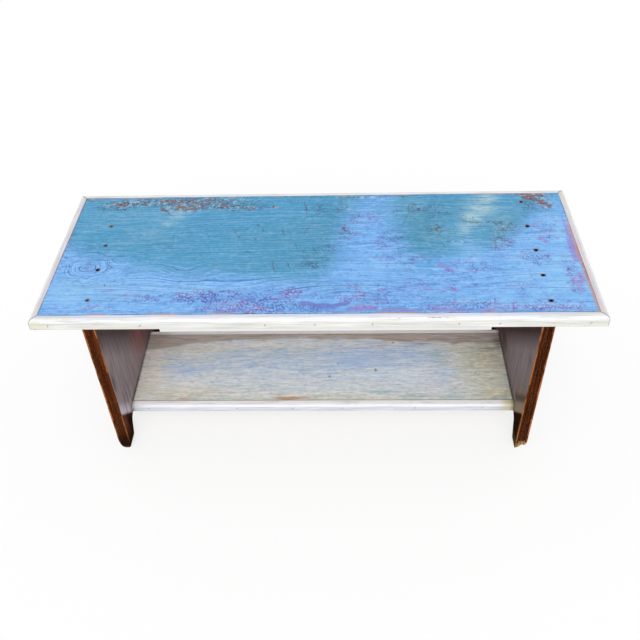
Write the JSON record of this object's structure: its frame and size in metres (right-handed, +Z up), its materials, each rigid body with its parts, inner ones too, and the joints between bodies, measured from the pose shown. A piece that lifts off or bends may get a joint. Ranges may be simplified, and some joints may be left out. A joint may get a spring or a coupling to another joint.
{
  "type": "bucket bench",
  "caption": "Low rustic bench with a painted plank top in a mitred moulding, plain end boards with splayed foot cut-outs, and one low shelf.",
  "frame": {"origin": "on the floor under the middle of the bench", "axes": "+X along the length to the right as seen from the front, +Y to the back, +Z up"},
  "size_m": [1.09, 0.422, 0.42],
  "materials": {
    "blue_paint": "aged blue paint, crackled, worn to a rose undercoat and bare pine",
    "white_paint": "brushed white paint over moulding, yellowed at the ends",
    "limewashed_paint": "rubbed grey-white paint over blue, bare wood along the back",
    "walnut_stain": "dark walnut stain with a satin varnish, worn at the arrises",
    "nail_steel": "dull dark nail heads set below the surface"
  },
  "bodies": {
    "root": {"top_board": "blue_paint", "top_moulding_front": "white_paint", "top_moulding_back": "white_paint", "top_moulding_left": "white_paint", "top_moulding_right": "white_paint", "end_board_left": "walnut_stain", "end_board_right": "walnut_stain", "shelf_board": "limewashed_paint", "shelf_moulding_front": "white_paint", "shelf_moulding_back": "white_paint", "top_nails_left": "nail_steel", "top_nails_right": "nail_steel", "shelf_nails_left": "nail_steel", "shelf_nails_right": "nail_steel", "top_moulding_front_brads": "nail_steel", "top_moulding_back_brads": "nail_steel", "top_moulding_left_brads": "nail_steel", "top_moulding_right_brads": "nail_steel", "shelf_moulding_front_brads": "nail_steel", "shelf_moulding_back_brads": "nail_steel"}
  },
  "joints": []
}
